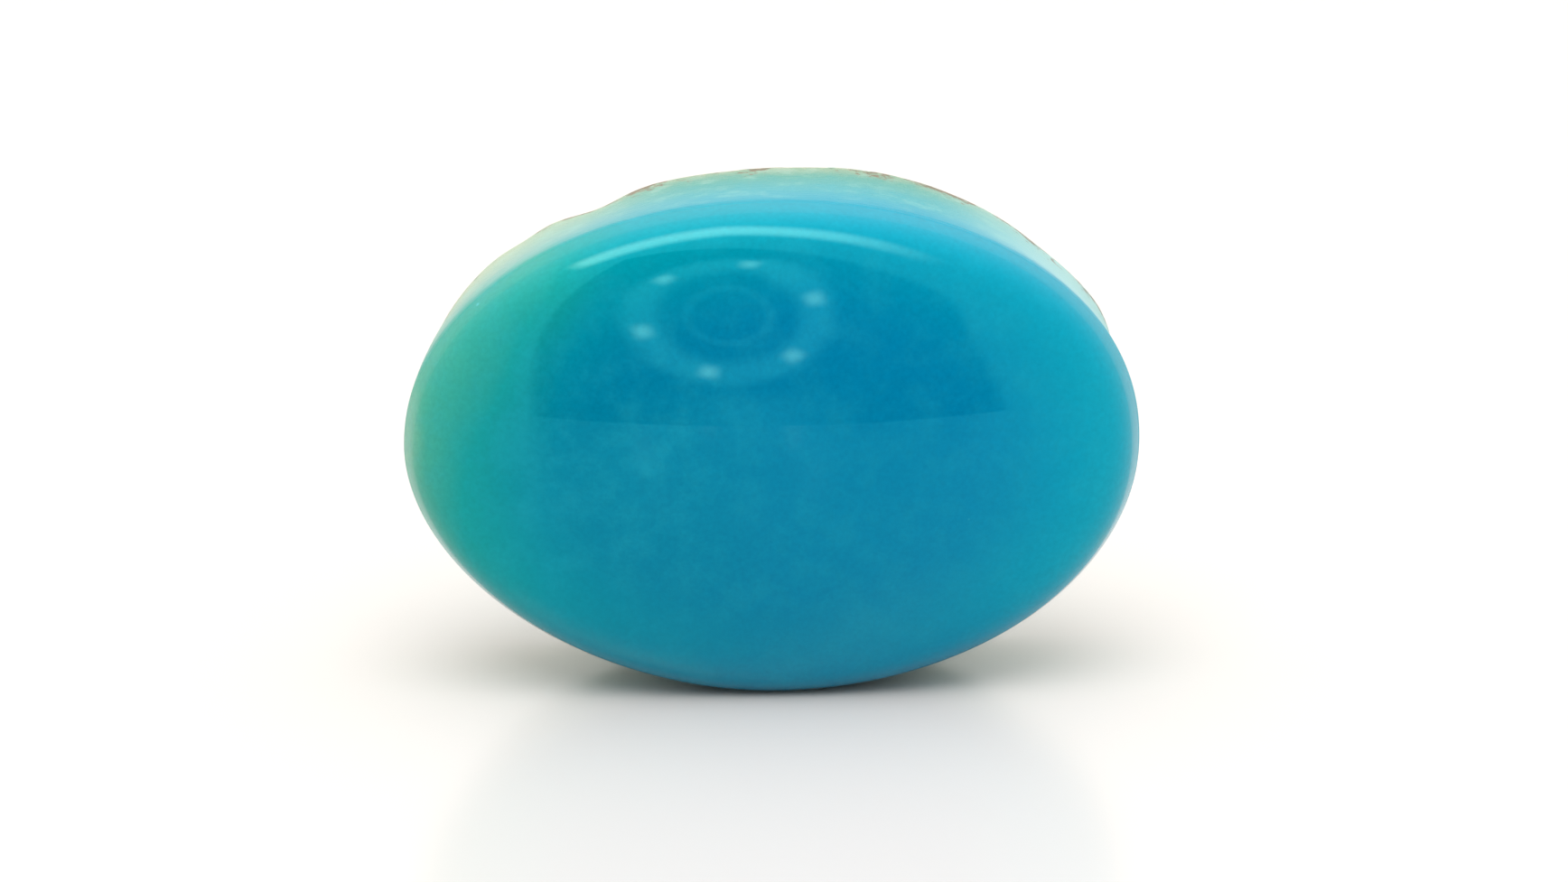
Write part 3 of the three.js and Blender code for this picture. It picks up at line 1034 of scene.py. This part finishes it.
@dataclass(frozen=True)
class LightTent:
    """The white light tent round the stone: brighter above, with an opening in front for the lens.

    A direction towards the front is told by two tangents, across and up; one towards the roof by how
    far it leans across and to the front. Strengths are times the light of white paper.
    """

    shown: str = "#FEF9FF"
    low_tone: str = "#FFFFF0"
    high_tone: str = "#FFFAFF"
    lamp_tone: str = "#FF8676"
    low: float = 1.05
    high: float = 2.0
    steepness: float = 3.0
    dark: float = 0.07
    opening_left: float = -0.51
    opening_right: float = 0.55
    right_slant: float = 0.3
    opening_top: float = 0.65
    top_slant: float = 0.68
    strip_front: float = 0.42
    strip_bend: float = -0.1
    strip_left: float = -0.66
    strip_right: float = 0.45
    strip_width: float = 0.25
    strip_strength: float = 19.5
    stand_width: float = 0.3
    stand_foot: float = -0.06
    stand_height: float = 0.06
    stand_strength: float = 0.8
    ring: LampRing = LampRing()

    @staticmethod
    def between(add: Adder, edges: tuple[tuple, ...]) -> Node:
        """Multiplies soft edges together.

        Args:
            add: Adds a node to the world.
            edges: For each, its value, where it starts and ends, and what it gives at either.

        Returns:
            A node that gives the product.
        """
        share, *others = [add("MapRange", *edge, **SMOOTH) for edge in edges]
        for other in others:
            share = add("Math", share, other, operation="MULTIPLY")
        return share

    def stand(self, add: Adder, towards: Socket) -> Node:
        """Adds the pale stand under the lens, lit by the tent.

        Args:
            add: Adds a node to the world.
            towards: The direction that is looked in.

        Returns:
            A node that gives the stand's strength.
        """
        x, _, z = add("SeparateXYZ", towards).outputs
        aside = add("Math", x, operation="ABSOLUTE")
        edges = (
            (aside, 0.0, self.stand_width, self.stand_strength, 0.0),
            (z, self.stand_foot, self.stand_height, 1.0, 0.0),
        )
        return self.between(add, edges)

    def opening(self, add: Adder, towards: Socket) -> Node:
        """Adds the opening's shape: 1 inside it and 0 on the tent.

        Args:
            add: Adds a node to the world.
            towards: The direction that is looked in.

        Returns:
            A node that gives the share of opening.
        """
        x, y, z = add("SeparateXYZ", towards).outputs
        front = add("Math", y, -1.0, operation="MULTIPLY")
        ahead = add("Math", front, 0.02, operation="MAXIMUM")
        across = add("Math", x, ahead, operation="DIVIDE")
        up = add("Math", z, ahead, operation="DIVIDE")
        to_right = add("Math", up, self.right_slant, across, operation="MULTIPLY_ADD")
        to_top = add("Math", across, self.top_slant, up, operation="MULTIPLY_ADD")
        edges = (
            (across, self.opening_left - 0.02, self.opening_left + 0.02, 0.0, 1.0),
            (to_right, self.opening_right - 0.03, self.opening_right + 0.03, 1.0, 0.0),
            (to_top, self.opening_top - 0.04, self.opening_top + 0.04, 1.0, 0.0),
            (front, 0.02, 0.1, 0.0, 1.0),
        )
        return self.between(add, edges)

    def strip(self, add: Adder, towards: Socket) -> Node:
        """Adds the strip light under the front of the roof.

        Args:
            add: Adds a node to the world.
            towards: The direction that is looked in.

        Returns:
            A node that gives the strip's strength.
        """
        x, y, z = add("SeparateXYZ", towards).outputs
        above = add("Math", z, 0.05, operation="MAXIMUM")
        across = add("Math", x, above, operation="DIVIDE")
        front = add("Math", y, above, operation="DIVIDE")
        bend = add("Math", across, self.strip_bend, operation="MAXIMUM")
        # Front is negative here, so the strip's own place is added to it
        off = add("Math", front, bend, operation="ADD")
        off = add("Math", off, self.strip_front - self.strip_bend, operation="ADD")
        away = add("Math", off, operation="ABSOLUTE")
        edges = (
            (away, self.strip_width * 0.2, self.strip_width * 1.6, 1.0, 0.0),
            (across, self.strip_left - 0.06, self.strip_left + 0.06, 0.0, 1.0),
            (across, self.strip_right - 0.4, self.strip_right + 0.4, 1.0, 0.0),
            (z, 0.1, 0.3, 0.0, self.strip_strength),
        )
        return self.between(add, edges)

    def build(self) -> None:
        """Builds the tent as the scene's world."""
        world = bpy.data.worlds.new("light_tent")
        bpy.context.scene.world = world
        add = node_adder(world)
        towards = add("TexCoord").outputs["Generated"]
        _, _, z = add("SeparateXYZ", towards).outputs
        height = add("Math", z, 0.0, operation="MAXIMUM")
        raised = add("Math", height, self.steepness, operation="POWER")
        cloth = add("MapRange", raised, 0.0, 1.0, self.low, self.high)
        tone = add(
            "Mix", data_type="RGBA", Factor=height, A=linear(self.low_tone), B=linear(self.high_tone),
        )
        lamps, glow = self.ring.light(add, towards)
        inside = add("Math", self.stand(add, towards), self.dark, operation="ADD")
        inside = add("Math", inside, glow, operation="ADD")
        opening = self.opening(add, towards)
        strength = add("Mix", Factor=opening, A=cloth, B=inside)
        # The lamps are small beside the tent, so they show in the polish and hardly light the stone
        path = add("LightPath")
        lamps = add("Math", lamps, self.strip(add, towards), operation="ADD")
        mirrored = add("Math", lamps, path.outputs["Is Glossy Ray"], operation="MULTIPLY")
        tent = add("Background", tone, strength)
        lamp_light = add("Background", linear(self.lamp_tone), mirrored)
        light = add("AddShader", tent, lamp_light)
        seen = add("Background", linear(self.shown), 1.0)
        mixed = add("MixShader", path.outputs["Is Camera Ray"], light, seen)
        add("OutputWorld", mixed)


@dataclass(frozen=True)
class KeyLight:
    """A wide soft light above and in front, which shades the dome without showing in its polish."""

    elevation: float = 66.0
    azimuth: float = -8.0
    spread: float = 50.0
    strength: float = 1.58

    def build(self) -> None:
        """Builds the light."""
        bpy.ops.object.select_all(action="DESELECT")
        bpy.ops.object.light_add(type="SUN")
        light = bpy.context.active_object
        light.name = "key_light"
        towards = direction(self.elevation, self.azimuth)
        light.rotation_euler = towards.to_track_quat("Z", "Y").to_euler()
        light.data.energy = self.strength
        light.data.angle = math.radians(self.spread)
        light.visible_glossy = False


@dataclass
class Floor:
    """The plain pale surface that the stone stands on.

    Its near sheet ends in front of the stone, which is where the polish shows its edge. The rest of
    the floor is only there to be seen, and lies round that sheet.
    """

    reach: float = 2.0
    front: float = 0.08
    colour: str = "#CDCBC8"
    satin: float = 0.2

    def sheet(self, name: str, low: float, high: float) -> Body:
        """Lays one sheet across the whole width.

        Args:
            name: What it is called.
            low: Where it starts along Y, in metres.
            high: Where it ends along Y, in metres.

        Returns:
            The sheet, marked as stage.
        """
        bpy.ops.object.select_all(action="DESELECT")
        bpy.ops.mesh.primitive_plane_add(size=1.0, location=(0, (low + high) / 2, 0))
        sheet = bpy.context.active_object
        sheet.name = name
        sheet.scale = (2 * self.reach, high - low, 1)
        bpy.ops.object.transform_apply(location=True, rotation=True, scale=True)
        return sheet

    def build(self) -> None:
        """Builds the floor."""
        material = bpy.data.materials.new("white_acrylic_sheet")
        add = node_adder(material)
        shader = add("BsdfPrincipled", Base_Color=linear(self.colour), Roughness=self.satin)
        add("OutputMaterial", shader)
        near = self.sheet("near_floor", -self.front, self.reach)
        far = self.sheet("far_floor", -self.reach, -self.front)
        far.visible_diffuse = far.visible_glossy = False
        for sheet in (near, far):
            sheet.data.materials.append(material)


@dataclass
class StudioCamera:
    """The camera: a long lens, a little above the stone and a little to its left."""

    elevation: float = 15.0
    yaw: float = 2.5
    distance: float = 118.6
    pixels_per_mm: float = 40.95
    sensor: float = 36.0
    image_width: int = 1736
    aim_depth: float = 2.4
    aim_height: float = 6.745
    aim_right: float = 0.256
    aim_up: float = 0.232

    def build(self) -> None:
        """Builds the camera and makes it the scene's own."""
        forward = -direction(self.elevation, -self.yaw)
        turn = math.radians(self.yaw)
        right = Vector((math.cos(turn), -math.sin(turn), 0))
        up = right.cross(forward)
        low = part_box("stone")[0]
        aim = Vector((0, low[1] + self.aim_depth * MM, self.aim_height * MM))
        aim += (self.aim_right * right + self.aim_up * up) * MM
        bpy.ops.object.camera_add(location=aim - forward * self.distance * MM)
        camera = bpy.context.active_object
        camera.name = "studio_camera"
        camera.rotation_euler = forward.to_track_quat("-Z", "Y").to_euler()
        camera.data.sensor_width = self.sensor
        camera.data.lens = self.pixels_per_mm * self.distance * self.sensor / self.image_width
        camera.data.clip_start = MM
        camera.data.clip_end = 10.0
        bpy.context.scene.camera = camera


def main() -> None:
    """Builds the stone and its studio."""
    logging.basicConfig(level=logging.INFO, format="%(message)s")
    stone = TurquoiseStone().build()
    log.info("stone: %d faces", len(stone.data.polygons))
    StudioCamera().build()
    log.info("camera placed")
    Floor().build()
    log.info("floor laid")
    LightTent().build()
    KeyLight().build()
    log.info("light tent hung")
    bpy.context.scene.view_settings.view_transform = "Standard"


if __name__ == "__main__":
    main()
